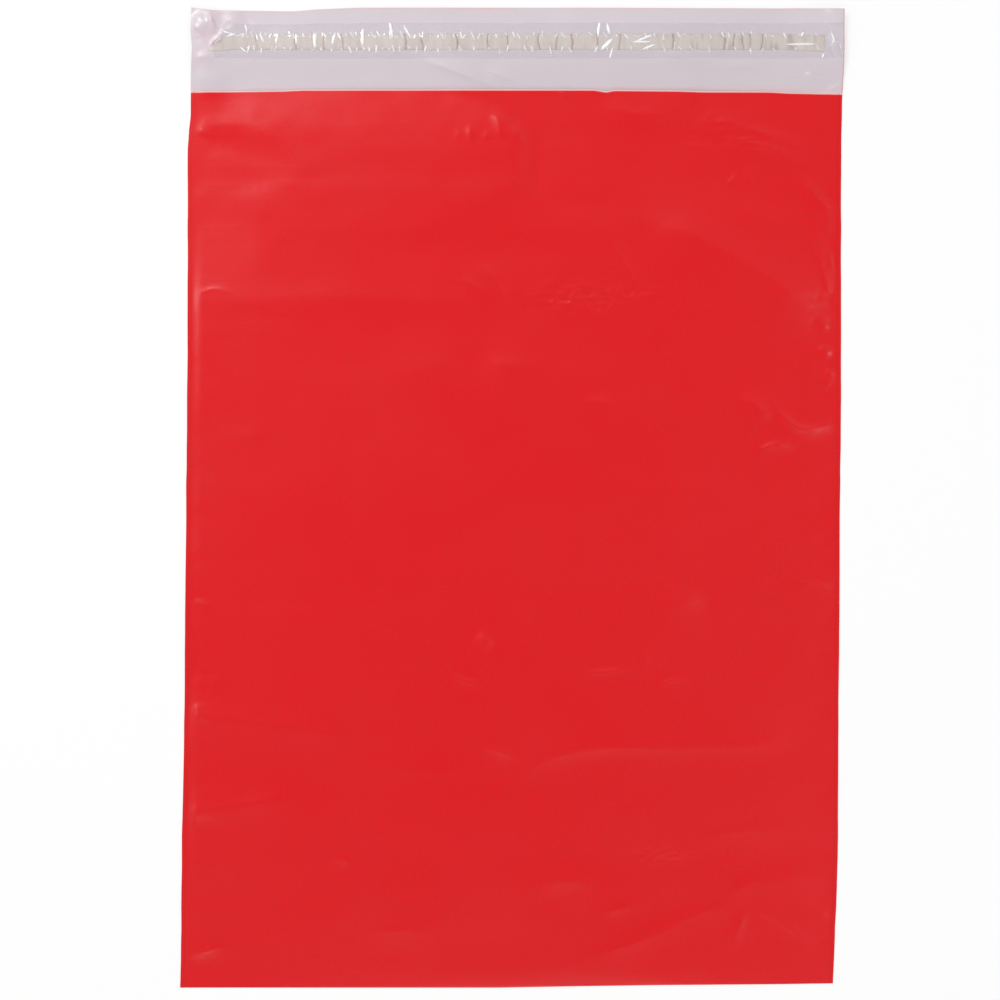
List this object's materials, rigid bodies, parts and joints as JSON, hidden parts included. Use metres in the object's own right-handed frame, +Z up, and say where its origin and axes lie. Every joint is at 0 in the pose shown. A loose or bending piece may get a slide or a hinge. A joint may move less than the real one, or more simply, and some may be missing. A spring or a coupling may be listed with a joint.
{
  "type": "poly mailer bag",
  "caption": "Red poly mailer bag lying flat and empty, open flap with a hot-melt strip under a clear release liner.",
  "frame": {"origin": "middle of the bag's outline, on the surface that it lies on", "axes": "+Z up, +Y from the bottom fold towards the flap, +X to the right as the open flap is seen from above"},
  "size_m": [0.32, 0.48, 0.0025],
  "materials": {
    "film": "satin",
    "hot_melt": "satin",
    "liner": "gloss"
  },
  "bodies": {
    "root": {"bag_film": "film", "adhesive_strip": "hot_melt", "release_liner": "liner"}
  },
  "joints": []
}
